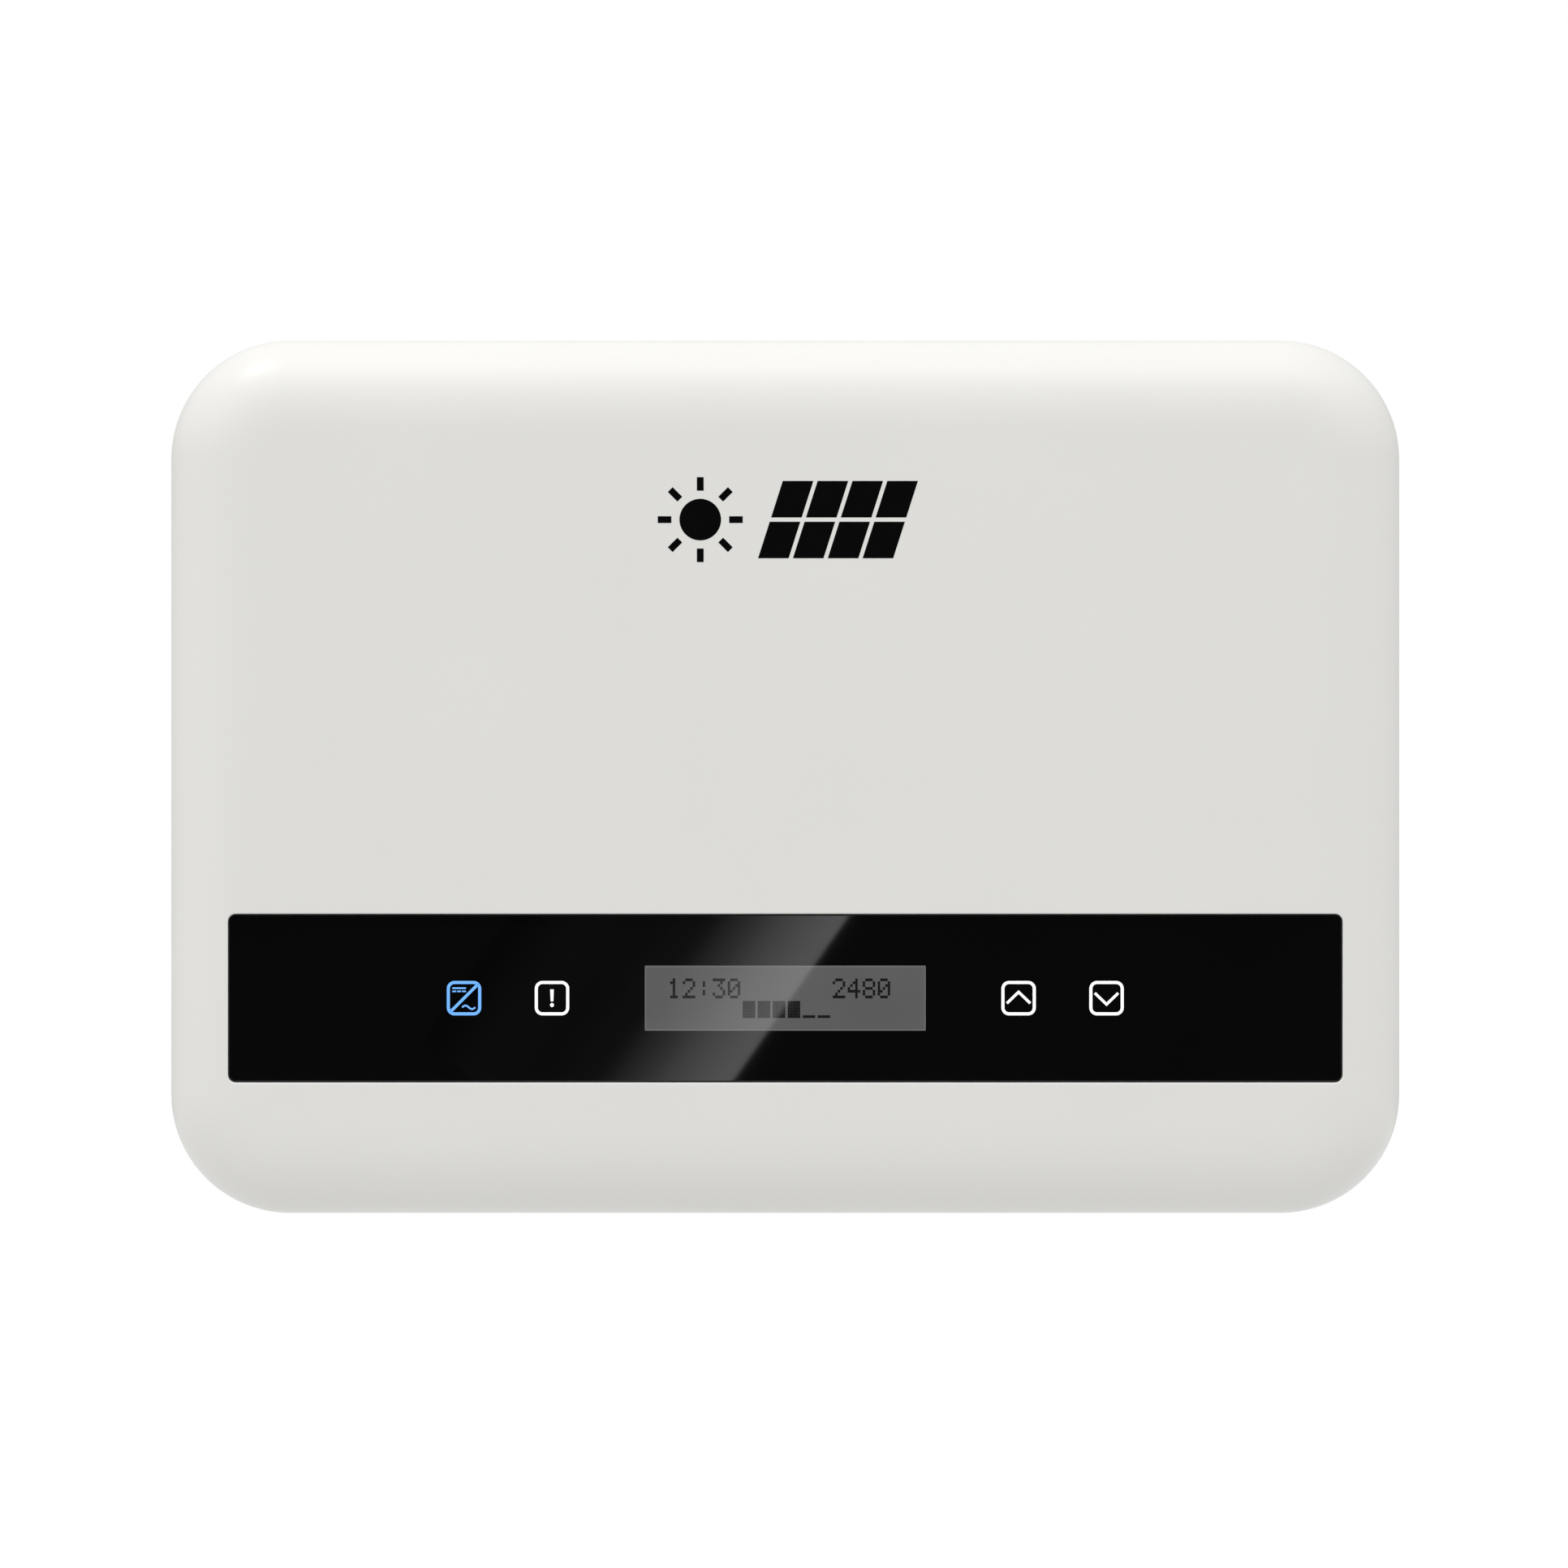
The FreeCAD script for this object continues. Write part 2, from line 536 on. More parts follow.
PANEL_HOLES = [
    ("switch_x", "seal_radius"), ("pv_plus_x", "dc_thread + 0.1"), ("pv_minus_x", "dc_thread + 0.1"),
    ("vent_x", "vent_thread + 0.1"), ("gland_x", "gland_thread + 0.1"), ("mains_x", "mains_core + 0.2"),
    ("ground_x", "ground_shank"),
]
SINK_SCREWS = [(f"{side} * sink_screw_x", f"sink_mid + {up} * sink_screw_z")
               for side in (-1, 1) for up in (-1, 1)]
HANGER_SCREWS = [(f"{side} * hanger_screw_x", f"hanger_screw_z + {up} * hanger_screw_gap")
                 for side in (-1, 1) for up in (-1, 1)]
STANDOFFS = [(x, f"board_mid + {up} * standoff_z")
             for x in ("-standoff_x", "0", "standoff_x") for up in (-1, 1)]


def rear_housing():
    """Cast tub with a full-outline flange. Its bottom wall carries every socket and gland."""
    body = new_body("rear_housing")
    flange = new_sketch(body, "XZ_Plane", f"-{RIM}", "flange")
    add_rectangle(flange, 0, "case_mid", "case_width", "case_height", "corner_radius")
    pad(body, flange, "flange_thick", against_normal=True)
    tub = new_sketch(body, "XZ_Plane", f"-{RIM}", "tub")
    add_rectangle(tub, 0, "tub_mid", "tub_width", "tub_height", "tub_radius")
    block = pad(body, tub, f"-tub_back - {RIM}", against_normal=True)
    round_edges(body, block, in_plane("Y", SINK_FRONT), 2)
    inside = new_sketch(body, "XZ_Plane", f"-{RIM}", "inside")
    add_rectangle(inside, 0, "tub_mid", "tub_width - 2 * tub_wall", "tub_height - 2 * tub_wall",
                  "tub_radius - tub_wall")
    pocket(body, inside, f"-tub_floor - {RIM}")
    groove = new_sketch(body, "XZ_Plane", f"-{RIM}", "groove")
    add_rectangle(groove, 0, "tub_mid", "groove_width", "groove_height", "groove_radius")
    add_rectangle(groove, 0, "tub_mid", "groove_width - 2 * groove_band", "groove_height - 2 * groove_band",
                  "groove_radius - groove_band")
    pocket(body, groove, "groove_depth")
    screw_holes = new_sketch(body, "XZ_Plane", f"-{RIM}", "screw_holes")
    for x, z in COVER_SCREWS:
        add_circle(screw_holes, x, z, "screw_hole")
    pocket(body, screw_holes, "flange_thick")
    sink_holes = new_sketch(body, "XZ_Plane", "tub_floor", "sink_holes")
    for x, z in SINK_SCREWS:
        add_circle(sink_holes, x, z, "screw_hole")
    pocket(body, sink_holes, "tub_floor - tub_back")
    posts = new_sketch(body, "XZ_Plane", "tub_floor", "posts")
    for x, z in STANDOFFS:
        add_circle(posts, x, z, "standoff_radius")
    pad(body, posts, "standoff_tall")
    taps = new_sketch(body, "XZ_Plane", f"-{BOARD_BACK}", "taps")
    for x, z in STANDOFFS:
        add_circle(taps, x, z, "board_tap")
    pocket(body, taps, "standoff_tall")
    earth = new_sketch(body, "XY_Plane", PANEL_INSIDE, "earth")
    add_circle(earth, "ground_x", "panel_y", 6)
    pad(body, earth, 8)
    panel = new_sketch(body, "XY_Plane", PANEL, "panel")
    for x, radius in PANEL_HOLES:
        add_circle(panel, x, "panel_y", radius)
    add_rectangle(panel, "dongle_x", "panel_y", "usb_x + 2", "usb_y + 3", 1)
    for side in (-1, 1):
        for way in (-1, 1):
            add_circle(panel, f"mains_x + {side} * mains_screw_x", f"panel_y + {way} * mains_screw_y",
                       "mains_screw_tap")
    pocket(body, panel, "tub_wall", along_normal=True)
    thread = new_sketch(body, "XY_Plane", PANEL, "thread")
    add_circle(thread, "ground_x", "panel_y", "ground_shank")
    pocket(body, thread, "tub_wall + 6", along_normal=True)


def heatsink():
    """Extruded plate with upright fins. Two blocks take the hanger's screws and two posts the bumpers."""
    body = new_body("heatsink")
    plate = new_sketch(body, "XZ_Plane", "tub_back", "plate")
    add_rectangle(plate, 0, "sink_mid", "sink_width", "sink_height", 3)
    pad(body, plate, "sink_base", against_normal=True)
    fin = new_sketch(body, "XZ_Plane", "tub_back - sink_base / 2", "fin")
    reach = "(-sink_back + tub_back - sink_base / 2)"
    first = "(-fin_pitch * (fin_count - 1) / 2)"
    sides = (f"{first} - fin_thick / 2", f"{first} + fin_thick / 2")
    ends = ("sink_mid - sink_height / 2", "sink_mid + sink_height / 2")
    add_polygon(fin, [(sides[0], ends[0]), (sides[1], ends[0]), (sides[1], ends[1]), (sides[0], ends[1])])
    one_fin = pad(body, fin, reach, against_normal=True)
    row = body.newObject("PartDesign::LinearPattern", "fins")
    row.Originals = [one_fin]
    row.Direction = (fin, ["H_Axis"])
    bind(row, "Length", "fin_pitch * (fin_count - 1)")
    row.Occurrences = SIZES["fin_count"]
    body.Tip = row
    doc.recompute()
    blocks = new_sketch(body, "XZ_Plane", "tub_back - sink_base / 2", "blocks")
    for side in (-1, 1):
        add_rectangle(blocks, f"{side} * hanger_screw_x", "hanger_block_mid", "hanger_block",
                      "hanger_block_height", 1)
        add_circle(blocks, f"{side} * bumper_x", "bumper_z", "bumper_radius")
    pad(body, blocks, reach, against_normal=True)
    threads = new_sketch(body, "XZ_Plane", "sink_back", "threads")
    for x, z in HANGER_SCREWS:
        add_circle(threads, x, z, "screw_thread")
    pocket(body, threads, 12, along_normal=True)
    taps = new_sketch(body, "XZ_Plane", "tub_back", "taps")
    for x, z in SINK_SCREWS:
        add_circle(taps, x, z, "screw_thread")
    pocket(body, taps, 4.5)


def hanger_plate():
    """Folded steel plate on the fins' tips: its top folds back and down, to hook over the bracket."""
    body = new_body("hanger_plate")
    fold = new_sketch(body, "YZ_Plane", 0, "fold")
    back = "(-sink_back + sheet_thick)"
    under = "(hanger_top - sheet_thick)"
    add_polygon(fold, [
        ("-sink_back", 0), (back, 0), (back, under), ("-lip_front", under), ("-lip_front", "lip_low"),
        ("-lip_front + sheet_thick", "lip_low"), ("-lip_front + sheet_thick", "hanger_top"),
        ("-sink_back", "hanger_top"),
    ])
    pad(body, fold, "hanger_width", both_ways=True)
    holes = new_sketch(body, "XZ_Plane", "sink_back", "holes")
    for x, z in HANGER_SCREWS:
        add_circle(holes, x, z, "screw_hole")
    pocket(body, holes, "sheet_thick")


def wall_bracket():
    """Steel plate that screws to the wall, with a raised tab along its top for the hanger."""
    body = new_body("wall_bracket")
    plate = new_sketch(body, "XZ_Plane", 0, "plate")
    add_rectangle(plate, 0, 0, "bracket_width", "bracket_height", 5)
    pad(body, plate, "sheet_thick")
    fold = new_sketch(body, "YZ_Plane", 0, "fold")
    shelf, top = "(bracket_height / 2)", "(hanger_top - sheet_thick)"
    add_polygon(fold, [
        ("-sheet_thick / 2", f"{shelf} - sheet_thick"), ("-sheet_thick / 2", shelf),
        ("-tab_front + sheet_thick", shelf), ("-tab_front + sheet_thick", top), ("-tab_front", top),
        ("-tab_front", f"{shelf} - sheet_thick"),
    ])
    pad(body, fold, "tab_width", both_ways=True)
    holes = new_sketch(body, "XZ_Plane", 0, "holes")
    for side in (-1, 1):
        for up in (-1, 1):
            add_circle(holes, f"{side} * wall_hole_x", f"{up} * wall_hole_z", "wall_hole")
    pocket(body, holes, "sheet_thick", along_normal=True)


def housing_fasteners():
    """Screws for the cover, heatsink and hanger, and the bumpers that keep the case upright on the wall."""
    cover = [screw(x, FLANGE_BACK, z, "screw_shank", "cover_screw_reach", "screw_head", "head_thick", "-Y")
             for x, z in COVER_SCREWS]
    keep(group(*cover), "cover_screws")
    sink = [screw(x, FLOOR, z, "screw_shank", "tub_floor - tub_back + 4", "screw_head", "head_thick", "+Y")
            for x, z in SINK_SCREWS]
    keep(group(*sink), "heatsink_screws")
    hanger = [screw(x, "-sink_back + sheet_thick", z, "screw_shank", 10, "screw_head", 2.2, "-Y")
              for x, z in HANGER_SCREWS]
    keep(group(*hanger), "hanger_screws")
    pads = [cylinder(f"{side} * bumper_x", "-sink_back", "bumper_z", "bumper_radius - 0.5", "sink_back", "+Y")
            for side in (-1, 1)]
    keep(group(*pads), "wall_bumpers")


# ---------------------------------------------------------------- fittings on the bottom panel

def load_switch():
    """Rotary direct-current switch: knob and rotor turn together, the rest stays."""
    bezel_low = f"({PANEL} - switch_bezel_thick)"
    disc = cylinder("switch_x", "panel_y", bezel_low, "switch_bezel_radius", "switch_bezel_thick")
    eye = cylinder("switch_x", "panel_y", f"{bezel_low} - 1", "shaft_radius + 0.5", "switch_bezel_thick + 2")
    keep(cut(disc, eye), "switch_bezel")

    knob_top = f"({bezel_low} - knob_gap)"
    base = cylinder("switch_x", "panel_y", f"{knob_top} - knob_base", "knob_radius", "knob_base")
    grip = box("switch_x", "panel_y - grip_length / 2", f"{knob_top} - knob_base - grip_height",
               "grip_width", "grip_length", "grip_height")
    notch = box("switch_x", "panel_y - grip_length / 2 - 1", f"{knob_top} - knob_base - grip_height - 1",
                "grip_width / 4", "grip_length / 2", "2.2")
    socket = cylinder("switch_x", "panel_y", f"{knob_top} - knob_base - 1", "shaft_radius", "knob_base + 2")
    keep(cut(fuse(base, grip), notch, socket), "switch_knob")

    rotor_low = f"({PANEL_INSIDE} + switch_lid + 0.1)"
    shaft = cylinder("switch_x", "panel_y", f"{knob_top} - knob_base - 1", "shaft_radius",
                     f"{rotor_low} - {knob_top} + knob_base + 2")
    drum = cylinder("switch_x", "panel_y", rotor_low, "rotor_radius", "rotor_tall")
    keep(fuse(shaft, drum), "switch_rotor")

    low = PANEL_INSIDE
    front = "(panel_y - switch_deep / 2 - switch_offset)"
    block = box("switch_x", front, low, "switch_width", "switch_deep", "switch_tall")
    chamber = cylinder("switch_x", "panel_y", f"{low} + switch_lid", "rotor_bore", "rotor_tall + 0.2")
    bore = cylinder("switch_x", "panel_y", f"{low} - 1", "shaft_bore", "switch_lid + 2")
    keep(cut(block, chamber, bore), "switch_body")

    ring = cylinder("switch_x", "panel_y", f"{PANEL} + 0.5", "seal_radius", "seal_thick")
    hole = cylinder("switch_x", "panel_y", PANEL, "shaft_radius + 0.03", "seal_thick + 1")
    keep(cut(ring, hole), "switch_seal")


def dc_sockets():
    """Sockets for the two leads from the panels. Their washers and inside nuts match the data gland's."""
    bodies, washers, nuts, contacts = [], [], [], []
    tip = f"({PANEL} - dc_reach)"
    for x in ("pv_plus_x", "pv_minus_x"):
        collar_low = f"({PANEL} - dc_washer - dc_collar_thick)"
        barrel = cylinder(x, "panel_y", tip, "dc_barrel", f"{collar_low} - {tip}")
        collar = hexagon(x, "panel_y", collar_low, "dc_collar", "dc_collar_thick")
        thread = cylinder(x, "panel_y", f"{PANEL} - dc_washer", "dc_thread", "dc_inner + dc_washer")
        bore = cylinder(x, "panel_y", f"{tip} - 1", "dc_bore", "dc_bore_depth + 1")
        core = cylinder(x, "panel_y", tip, "contact_radius + slack", "dc_reach + dc_inner + 1")
        bodies.append(cut(fuse(barrel, collar, thread), fuse(bore, core)))
        washer = cylinder(x, "panel_y", f"{PANEL} - dc_washer", "dc_collar - 1.2", "dc_washer")
        washers.append(cut(washer, cylinder(x, "panel_y", f"{PANEL} - 2", "dc_thread + slack", 4)))
        nut = hexagon(x, "panel_y", PANEL_INSIDE, "dc_collar", "dc_nut_thick")
        nuts.append(cut(nut, cylinder(x, "panel_y", PANEL, "dc_thread + slack", 12)))
        pin_low = f"({tip} + 3)"
        pin_reach = f"{PANEL} + dc_inner + 3 - {pin_low}"
        contacts.append(cylinder(x, "panel_y", pin_low, "contact_radius", pin_reach))
    keep(group(*bodies), "dc_socket_bodies")
    x, collar = "gland_x", "gland_collar"
    washer = cylinder(x, "panel_y", f"{PANEL} - dc_washer", f"{collar} - 1.6", "dc_washer")
    washers.append(cut(washer, cylinder(x, "panel_y", f"{PANEL} - 2", "gland_thread + slack", 4)))
    nut = hexagon(x, "panel_y", PANEL_INSIDE, collar, "dc_nut_thick")
    nuts.append(cut(nut, cylinder(x, "panel_y", PANEL, "gland_thread + slack", 12)))
    keep(group(*washers), "panel_washers")
    keep(group(*nuts), "panel_nuts")
    keep(group(*contacts), "dc_contacts")


def mains_socket():
    """Three-pin mains socket: flanged body, flat seal, pins and four screws."""
    seat = f"({PANEL} - mains_seal)"
    flange = box("mains_x", "panel_y - mains_flange_y / 2", f"{seat} - mains_flange_thick",
                 "mains_flange_x", "mains_flange_y", "mains_flange_thick")
    tip = f"({PANEL} - mains_reach)"
    barrel = cylinder("mains_x", "panel_y", tip, "mains_barrel", f"{seat} - {tip}")
    core = cylinder("mains_x", "panel_y", seat, "mains_core", "mains_seal + tub_wall + 6")
    bore = cylinder("mains_x", "panel_y", f"{tip} - 1", "mains_bore", "mains_bore_depth + 1")
    pins, ways = [], []
    for third in range(3):
        angle = math.radians(90 + 120 * third)
        x = f"(mains_x + mains_pin_ring * {math.cos(angle):.6f})"
        y = f"(panel_y + mains_pin_ring * {math.sin(angle):.6f})"
        pins.append(cylinder(x, y, f"{tip} + 3", "mains_pin", f"mains_reach + tub_wall + 6"))
        ways.append(cylinder(x, y, tip, "mains_pin + slack", "mains_reach + 20"))
    corners = [(f"mains_x + {side} * mains_screw_x", f"panel_y + {way} * mains_screw_y")
               for side in (-1, 1) for way in (-1, 1)]
    screw_seat = f"({seat} - mains_flange_thick + mains_head_thick)"
    holes = [cylinder(x, y, f"{seat} - 10", "mains_screw_hole", 12) for x, y in corners]
    sinks = [cylinder(x, y, f"{screw_seat} - 10", "mains_head + 0.2", 10) for x, y in corners]
    plate = cut(flange, *holes, *sinks)
    keep(cut(fuse(plate, barrel, core), bore, *ways), "mains_socket_body")
    keep(group(*pins), "mains_pins")
    pad_ring = box("mains_x", "panel_y - mains_flange_y / 2", seat, "mains_flange_x", "mains_flange_y",
                   "mains_seal")
    middle = cylinder("mains_x", "panel_y", f"{seat} - 1", "mains_core + 0.2", 4)
    seal_holes = [cylinder(x, y, f"{seat} - 1", "mains_screw_hole", 4) for x, y in corners]
    keep(cut(pad_ring, middle, *seal_holes), "mains_socket_seal")
    reach = f"{seat} + mains_seal + tub_wall - {screw_seat}"
    screws = [screw(x, y, screw_seat, "mains_screw_shank", reach, "mains_head", "mains_head_thick", "+Z")
              for x, y in corners]
    keep(group(*screws), "mains_socket_screws")


def data_gland():
    """Cable gland with its blanking plug: the nut screws down the neck and the claw ring rides with it."""
    collar_low = f"({PANEL} - dc_washer - gland_collar_thick)"
    neck_low = f"({collar_low} - gland_neck_reach + gland_collar_thick)"
    collar = hexagon("gland_x", "panel_y", collar_low, "gland_collar", "gland_collar_thick")
    neck = cylinder("gland_x", "panel_y", neck_low, "gland_neck", f"{collar_low} - {neck_low}")
    thread = cylinder("gland_x", "panel_y", f"{PANEL} - dc_washer", "gland_thread", "gland_inner + dc_washer")
    bore = cylinder("gland_x", "panel_y", f"{neck_low} - 1", "gland_bore", 40)
    keep(cut(fuse(collar, neck, thread), bore), "gland_body")
    seal = cylinder("gland_x", "panel_y", neck_low, "gland_bore - slack", "gland_seal_tall")
    plug_way = cylinder("gland_x", "panel_y", f"{neck_low} - 1", "gland_plug + slack", 20)
    keep(cut(seal, plug_way), "gland_seal")

    nut_low = f"({neck_low} - gland_nut_drop)"
    outside = fuse(hexagon("gland_x", "panel_y", f"{nut_low} + 3", "gland_collar", "gland_nut_tall - 3"),
                   cone("gland_x", "panel_y", nut_low, "gland_collar - 3.5", "gland_collar * 0.866", 3))
    deep = cylinder("gland_x", "panel_y", f"{neck_low} - claw_tall - 0.4", "gland_neck + gland_nut_gap", 20)
    mouth = cylinder("gland_x", "panel_y", f"{nut_low} - 1", "gland_mouth", 20)
    keep(cut(outside, deep, mouth), "gland_nut")
    claw = cylinder("gland_x", "panel_y", f"{neck_low} - claw_tall - 0.2", "gland_neck - 0.3", "claw_tall")
    keep(cut(claw, cylinder("gland_x", "panel_y", f"{nut_low} - 1", "gland_plug + 0.4", 20)), "gland_claw")
    stem = cylinder("gland_x", "panel_y", f"{nut_low} - 1.5", "gland_plug",
                    "gland_nut_drop + 1.5 + gland_seal_tall")
    keep(stem, "gland_blank")


def stick_port():
    """Port for a plug-in data stick, with a rubber cap that pulls off downwards."""
    flange_low = f"({PANEL} - dongle_flange_thick)"
    tip = f"({flange_low} - dongle_collar_tall)"
    flange = box("dongle_x", "panel_y - dongle_flange_y / 2", flange_low, "dongle_flange_x", "dongle_flange_y",
                 "dongle_flange_thick")
    collar = box("dongle_x", "panel_y - dongle_collar_y / 2", tip, "dongle_collar_x", "dongle_collar_y",
                 "dongle_collar_tall")
    hollow = box("dongle_x", "panel_y - dongle_collar_y / 2 + dongle_wall", f"{tip} - 1",
                 "dongle_collar_x - 2 * dongle_wall", "dongle_collar_y - 2 * dongle_wall",
                 "dongle_collar_tall + 1")
    way = box("dongle_x", "panel_y - usb_y / 2", tip, "usb_x", "usb_y", 30)
    keep(cut(fuse(flange, collar), hollow, way), "stick_port_body")
    shell = box("dongle_x", "panel_y - usb_y / 2 + 0.05", f"{tip} + 2", "usb_x - 0.1", "usb_y - 0.1", 16)
    mouth = box("dongle_x", "panel_y - usb_y / 2 + usb_wall", f"{tip} + 1", "usb_x - 2 * usb_wall",
                "usb_y - 2 * usb_wall", 11)
    tongue = box("dongle_x", "panel_y + usb_y / 2 - usb_wall - 1.9", f"{tip} + 3", "usb_x - 3", "1.6", "10.5")
    keep(fuse(cut(shell, mouth), tongue), "stick_port_socket")
    wall, gap = "dongle_cap_wall", "dongle_cap_gap"
    cap_tall = f"(dongle_collar_tall + {wall})"
    outer = box("dongle_x", f"panel_y - dongle_collar_y / 2 - {wall}", f"{tip} - {wall} - {gap}",
                f"dongle_collar_x + 2 * {wall}", f"dongle_collar_y + 2 * {wall}", cap_tall)
    inner = box("dongle_x", f"panel_y - dongle_collar_y / 2 - {gap} / 2", f"{tip} - {gap}",
                f"dongle_collar_x + {gap}", f"dongle_collar_y + {gap}", 30)
    pull = box("dongle_x", "panel_y - 1", f"{tip} - {wall} - {gap} - 4", 8, 2, 4.5)
    keep(cut(fuse(outer, pull), inner), "stick_port_cap")


def vent_and_earth():
    """Breather plug that keeps the case from drawing in damp, and the outside earth screw."""
    head = cylinder("vent_x", "panel_y", f"{PANEL} - vent_thick", "vent_radius", "vent_thick")
    stem = cylinder("vent_x", "panel_y", PANEL, "vent_thread", "tub_wall + 5")
    slots = [box("vent_x", f"panel_y + {at} - 0.6", f"{PANEL} - vent_thick - 1", 9, 1.2, 2.2)
             for at in (-3, 0, 3)]
    keep(cut(fuse(head, stem), *slots), "vent_plug")
    bolt = screw("ground_x", "panel_y", f"{PANEL} - 1", "ground_shank - slack", 9, "ground_head", 3, "+Z")
    ring = cylinder("ground_x", "panel_y", f"{PANEL} - 1", "ground_head + 0.8", 1)
    keep(group(bolt, cut(ring, cylinder("ground_x", "panel_y", f"{PANEL} - 2", "ground_shank", 3))),
         "ground_screw")


# ---------------------------------------------------------------- power board

def power_board():
    """Main board, drilled over the housing's posts."""
    slab = box(0, BOARD_FRONT, "board_mid - board_height / 2", "board_width", "board_thick", "board_height")
    holes = [cylinder(x, f"{BOARD_FRONT} - 1", z, "board_hole", "board_thick + 2", "+Y")
             for x, z in STANDOFFS]
    keep(cut(slab, *holes), "main_board")


def transistors():
    """Six power transistors, clamped through thin pads against the housing's floor."""
    cases, pads = [], []
    for number in range(6):
        x = f"(transistor_pitch * ({number} - 2.5))"
        case = box(x, "-tub_floor - pad_thick - transistor_thick", "transistor_low", "transistor_width",
                   "transistor_thick", "transistor_tall")
        legs = [box(f"{x} + {side} * lead_pitch", BOARD_BACK, "transistor_low - lead_size", "lead_size",
                    "standoff_tall - pad_thick - 2", "lead_size + 0.2") for side in (-1, 0, 1)]
        cases.append(fuse(case, *legs))
        pads.append(box(x, "-tub_floor - pad_thick", "transistor_low - 0.5", "transistor_width + 2",
                        "pad_thick", "transistor_tall + 1"))
    keep(group(*cases), "power_transistors")
    keep(group(*pads), "thermal_pads")
    front = "(-tub_floor - pad_thick - transistor_thick - clamp_thick)"
    bar = box(0, front, "clamp_mid - clamp_height / 2", "clamp_width", "clamp_thick", "clamp_height")
    spots = ["-2 * transistor_pitch", "-transistor_pitch", "0", "transistor_pitch", "2 * transistor_pitch"]
    holes = [cylinder(x, f"{front} - 1", "clamp_mid", "board_hole", 4, "+Y") for x in spots]
    keep(cut(bar, *holes), "transistor_clamp")
    clamp_screws = [screw(x, front, "clamp_mid", "board_screw", f"-tub_floor - {front}", 2.6, 0.9, "+Y")
                    for x in spots]
    board_screws = [screw(x, BOARD_FRONT, z, "board_screw", "board_thick + 6", 2.8, 2, "+Y")
                    for x, z in STANDOFFS]
    keep(group(*board_screws, *clamp_screws), "board_screws")


TOROIDS = [(-86, 22, 26, 14, 20), (-86, -32, 16, 9, 14), (99, 30, 18, 9.5, 15), (99, -14, 18, 9.5, 15)]
TURNS = 16


def winding_turn(close, far, low, high, wire_radius, corner):
    """One closed copper turn round a core's section, in the plane z = 0."""
    centres = ((far - corner, low - corner, 0), (close + corner, low - corner, 90),
               (close + corner, high + corner, 180), (far - corner, high + corner, 270))
    arcs = []
    for x, y, start in centres:
        circle = Part.Circle(Vector(x, y, 0), Vector(0, 0, 1), corner)
        arcs.append(Part.ArcOfCircle(circle, math.radians(start), math.radians(start + 90)))
    edges = []
    for arc, following in zip(arcs, arcs[1:] + arcs[:1]):
        edges.append(arc.toShape())
        edges.append(Part.LineSegment(arc.EndPoint, following.StartPoint).toShape())
    path = Part.Wire(edges)
    start = arcs[0].StartPoint
    section = Part.Wire([Part.Circle(start, Vector(0, 1, 0), wire_radius).toShape()])
    return path.makePipeShell([section], True, True)


def inductors():
    """Boost choke, input choke and two line chokes: ring cores, their copper turns and plastic feet."""
    floor = value(BOARD_FRONT)
    wire_radius, gap = value("turn_radius"), value("turn_gap")
    lift = value("base_thick") + 2 * (wire_radius + gap)
    cores, turns, feet = [], [], []
    for x, z, outer, inner, tall in TOROIDS:
        near = floor - lift
        ring = cylinder(x, near, z, outer, tall, "-Y")
        cores.append(cut(ring, cylinder(x, near + 1, z, inner, tall + 2, "-Y")))
        feet.append(cylinder(x, floor, z, outer - 2, "base_thick", "-Y"))
        low, high = near + wire_radius + gap, near - tall - wire_radius - gap
        close, far = inner - wire_radius - gap, outer + wire_radius + gap
        one = winding_turn(close, far, low, high, wire_radius, value("turn_corner"))
        for number in range(TURNS):
            turn = one.copy()
            turn.rotate(Vector(0, 0, 0), Vector(0, 1, 0), 360 / TURNS * (number + 0.5))
            turn.translate(Vector(x, 0, z))
            turns.append(turn)
    keep(group(*cores), "inductor_cores")
    shape_feature(Part.makeCompound(turns), "inductor_windings")
    keep(group(*feet), "inductor_feet")


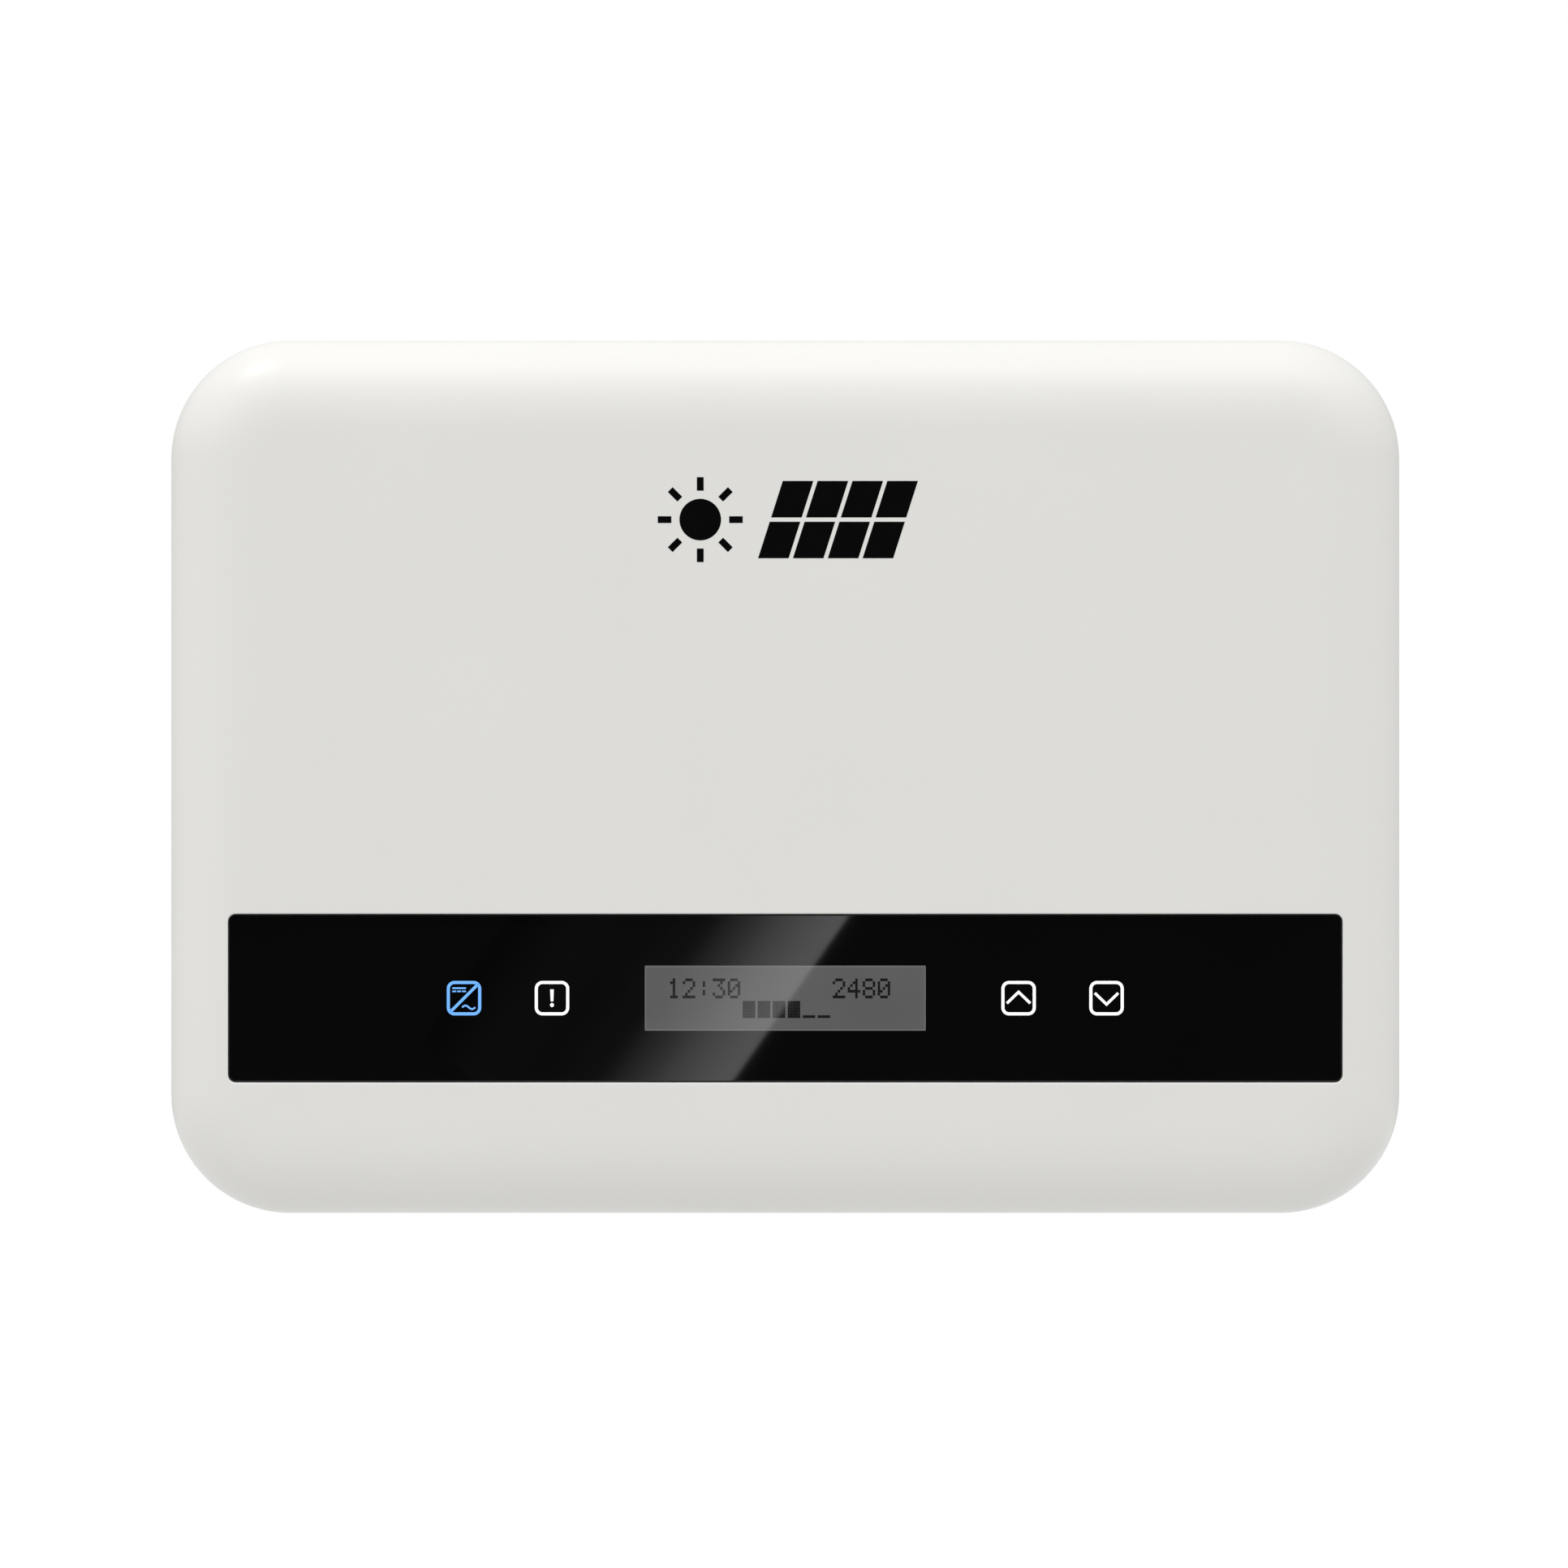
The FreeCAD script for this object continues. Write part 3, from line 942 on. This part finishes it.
def board_components():
    """Capacitors, relays, control card, supply transformer, surge arresters and terminal blocks."""
    cans = []
    for row in ("cap_low", "cap_high"):
        for number in range(3):
            x = f"(cap_left + {number} * cap_pitch)"
            can = cylinder(x, BOARD_FRONT, row, "cap_radius", "cap_tall", "-Y")
            score = [box(x, f"{BOARD_FRONT} - cap_tall - 1", f"{row} - 0.4", "cap_radius", 1.5, 0.8),
                     box(x, f"{BOARD_FRONT} - cap_tall - 1", f"{row} - cap_radius / 2", 0.8, 1.5, "cap_radius")]
            cans.append(cut(can, *score))
    keep(group(*cans), "bus_capacitors")
    relays = [box(f"relay_left + {number} * relay_pitch", f"{BOARD_FRONT} - relay_tall",
                  "relay_z - relay_deep / 2", "relay_width", "relay_tall", "relay_deep") for number in range(3)]
    keep(group(*relays), "relays")
    films = [box(f"film_left + {number} * film_pitch", f"{BOARD_FRONT} - film_tall", "film_z - film_deep / 2",
                 "film_width", "film_tall", "film_deep") for number in range(2)]
    keep(group(*films), "film_capacitors")
    card_mid = "(card_left + card_width / 2)"
    card = box(card_mid, f"{BOARD_FRONT} - header_tall - card_tall", "card_z - board_thick / 2", "card_width",
               "card_tall", "board_thick")
    header = box(card_mid, f"{BOARD_FRONT} - header_tall", "card_z - 2", "card_width - 10", "header_tall", 4)
    chips = [box(f"{card_mid} + {shift}", f"{BOARD_FRONT} - header_tall - card_tall / 2 - chip_size / 2",
                 "card_z + board_thick / 2", "chip_size", "chip_size", "chip_thick") for shift in (-28, 0, 28)]
    keep(fuse(card, header, *chips), "control_card")
    core = box("former_x", f"{BOARD_FRONT} - former_tall", "former_z - former_deep / 2", "former_width",
               "former_tall", "former_deep")
    notches = [box("former_x", f"{BOARD_FRONT} - former_tall + 4",
                   f"former_z + {side} * (former_deep / 2 - 2) - 2", "former_width + 2", "former_tall - 8", 4)
               for side in (-1, 1)]
    keep(cut(core, *notches), "supply_transformer")
    discs = [cylinder(f"arrester_left + {number} * arrester_pitch", f"{BOARD_FRONT} - arrester_radius - 1",
                      "arrester_z", "arrester_radius", "arrester_thick", "+X") for number in range(3)]
    keep(group(*discs), "surge_arresters")
    blocks = []
    for x in ("dc_block_x", "mains_block_x"):
        block = box(x, f"{BOARD_FRONT} - block_tall", "board_mid - board_height / 2", "block_width",
                    "block_tall", "block_height")
        wells = [cylinder(f"{x} + {shift} * block_width / 3", f"{BOARD_FRONT} - block_tall - 1",
                          "board_mid - board_height / 2 + block_height / 2", 2.6, 5, "+Y")
                 for shift in (-1, 0, 1)]
        blocks.append(cut(block, *wells))
    keep(group(*blocks), "terminal_blocks")


def harness():
    """Wires inside the case, each held at both ends, and the display's ribbon."""
    y, radius = value("panel_y"), value("wire_radius")
    block_low = value("board_mid - board_height / 2")
    block_y = value(f"{BOARD_FRONT} - block_tall / 2")
    contact_top = value(f"{PANEL} + dc_inner + 3")
    switch_side = value("switch_x + switch_width / 2")
    plus, minus = value("pv_plus_x"), value("pv_minus_x")
    string_leads = [
        wire([(plus, y, contact_top), (plus, y, contact_top + 6), (plus - 2, y - 6, contact_top + 10),
              (plus - 8, y - 10, contact_top + 11), (switch_side, y - 10, contact_top + 11)], radius),
        wire([(minus, y, contact_top), (minus, y, contact_top + 7), (minus - 6, y - 10, contact_top + 12),
              (minus - 18, y - 18, contact_top + 13), (minus - 30, y - 20, contact_top + 13),
              (switch_side, y - 20, contact_top + 13)], radius),
    ]
    switch_top = value(f"{PANEL_INSIDE} + switch_tall")
    middle = value("dc_block_x")
    step = value("block_width / 3")
    links = []
    for x in (middle - step, middle + step):
        links.append(wire([(x, block_y, switch_top), (x, block_y, block_low)], radius))
    shape_feature(Part.makeCompound(string_leads + links), "dc_leads")
    pin_top = value(f"{PANEL} + tub_wall + 9")
    ring, socket_x, mains_block = value("mains_pin_ring"), value("mains_x"), value("mains_block_x")
    mains = []
    for third, slot in zip(range(3), (0, -1, 1)):
        angle = math.radians(90 + 120 * third)
        x, pin_y = socket_x + ring * math.cos(angle), y + ring * math.sin(angle)
        end_x = mains_block + slot * step
        mains.append(wire([(x, pin_y, pin_top), (x, pin_y, pin_top + 6), (end_x, block_y, block_low - 8),
                           (end_x, block_y, block_low)], value("wire_radius - 0.3")))
    shape_feature(Part.makeCompound(mains), "mains_leads")

    back, socket_z = value(HMI_BACK), value("window_mid") - 10
    x, width, thick = value("ribbon_x"), value("ribbon_width"), value("ribbon_thick")
    front = value(BOARD_FRONT)
    path = [(x, back + 5, socket_z), (x, back + 15, socket_z), (x, back + 26, socket_z + 18),
            (x, back + 38, socket_z + 38), (x, front - 6, socket_z + 38)]
    half = Vector(width / 2, 0, thick / 2)
    start = Vector(*path[0])
    corners = [start + Vector(a * half.x, 0, b * half.z)
               for a, b in ((-1, -1), (1, -1), (1, 1), (-1, 1), (-1, -1))]
    strip = rounded_path(path).makePipeShell([Part.makePolygon(corners)], True, True)
    plug_width = width + 4
    plugs = [Part.makeBox(plug_width, 5, 6, Vector(x - plug_width / 2, back, socket_z - 3)),
             Part.makeBox(plug_width, 6, 6, Vector(x - plug_width / 2, front - 6, socket_z + 35))]
    shape_feature(Part.makeCompound([strip] + plugs), "display_cable")


# ---------------------------------------------------------------- build, check and write

for make in (front_cover, display_window, window_tape, display_module, operator_board, cover_gasket,
             rear_housing, heatsink, hanger_plate, wall_bracket, housing_fasteners, load_switch, dc_sockets,
             mains_socket, data_gland, stick_port, vent_and_earth, power_board, transistors, inductors,
             board_components, harness):
    make()
doc.recompute()

for thing in doc.Objects:
    if {"Invalid", "Error"} & set(thing.State):
        raise RuntimeError(f"{thing.Label} did not compute: {thing.State}")
for thing in subparts:
    if thing.Shape.isNull() or not thing.Shape.isValid() or not thing.Shape.Solids:
        raise RuntimeError(f"{thing.Label} is not a valid solid")

os.makedirs("parts", exist_ok=True)
for thing in subparts:
    thing.Shape.exportStep(f"parts/{thing.Label}.step")
print(len(subparts), "sub-parts written")
